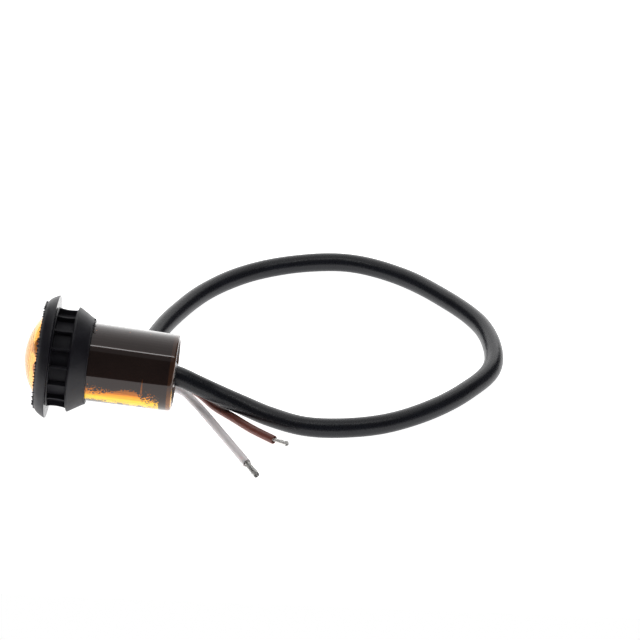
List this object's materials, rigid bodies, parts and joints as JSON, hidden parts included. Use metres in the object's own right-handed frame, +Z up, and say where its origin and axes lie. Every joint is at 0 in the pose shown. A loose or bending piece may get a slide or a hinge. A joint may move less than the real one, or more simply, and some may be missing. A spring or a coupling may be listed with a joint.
{
  "type": "turn signal indicator",
  "caption": "Round amber LED turn signal in a push-in rubber grommet: domed lens, tubular housing potted at the rear, and a two-core cord with bare ends.",
  "frame": {"origin": "on the surface the lamp lies on, under the middle of the lamp and grommet (the cord left out)", "axes": "+Z up; -X is the way the lens faces, its axis tipped 6.7 degrees up; +Y is the side the cord's loop lies on"},
  "size_m": [0.1158, 0.107, 0.0299],
  "materials": {
    "grommet": "satin moulded black rubber",
    "amber_lens": "glossy translucent amber, moulded in one piece with the tube",
    "reflector": "white moulding",
    "led_epoxy": "amber-tinted clear epoxy",
    "tinned_wire": "tinned",
    "circuit_board": "white solder mask",
    "component": "moulded black package",
    "solder": "solder",
    "potting": "cast black epoxy with a few bubbles at the wall",
    "cord_jacket": "satin black with a fine grain",
    "white_insulation": "satin white",
    "brown_insulation": "satin brown"
  },
  "bodies": {
    "grommet": {"grommet": "grommet"},
    "lamp": {"lens_housing": "amber_lens", "reflector": "reflector", "led_1": "led_epoxy", "led_2": "led_epoxy", "led_3": "led_epoxy", "led_1_anode_leg": "tinned_wire", "led_1_cathode_leg": "tinned_wire", "led_2_anode_leg": "tinned_wire", "led_2_cathode_leg": "tinned_wire", "led_3_anode_leg": "tinned_wire", "led_3_cathode_leg": "tinned_wire", "circuit_board": "circuit_board", "series_resistor_1": "component", "series_resistor_2": "component", "polarity_diode": "component", "white_solder_joint": "solder", "brown_solder_joint": "solder", "white_inner_core": "white_insulation", "brown_inner_core": "brown_insulation", "white_inner_strands": "tinned_wire", "brown_inner_strands": "tinned_wire", "potting_compound": "potting", "cord_jacket": "cord_jacket", "white_core": "white_insulation", "brown_core": "brown_insulation", "white_strands": "tinned_wire", "brown_strands": "tinned_wire"}
  },
  "joints": [
    {"name": "lamp_slide", "type": "slide", "parent": "grommet", "child": "lamp", "axis": [-0.9932, 0, 0.1167], "range_m": [0, 0.018]}
  ]
}
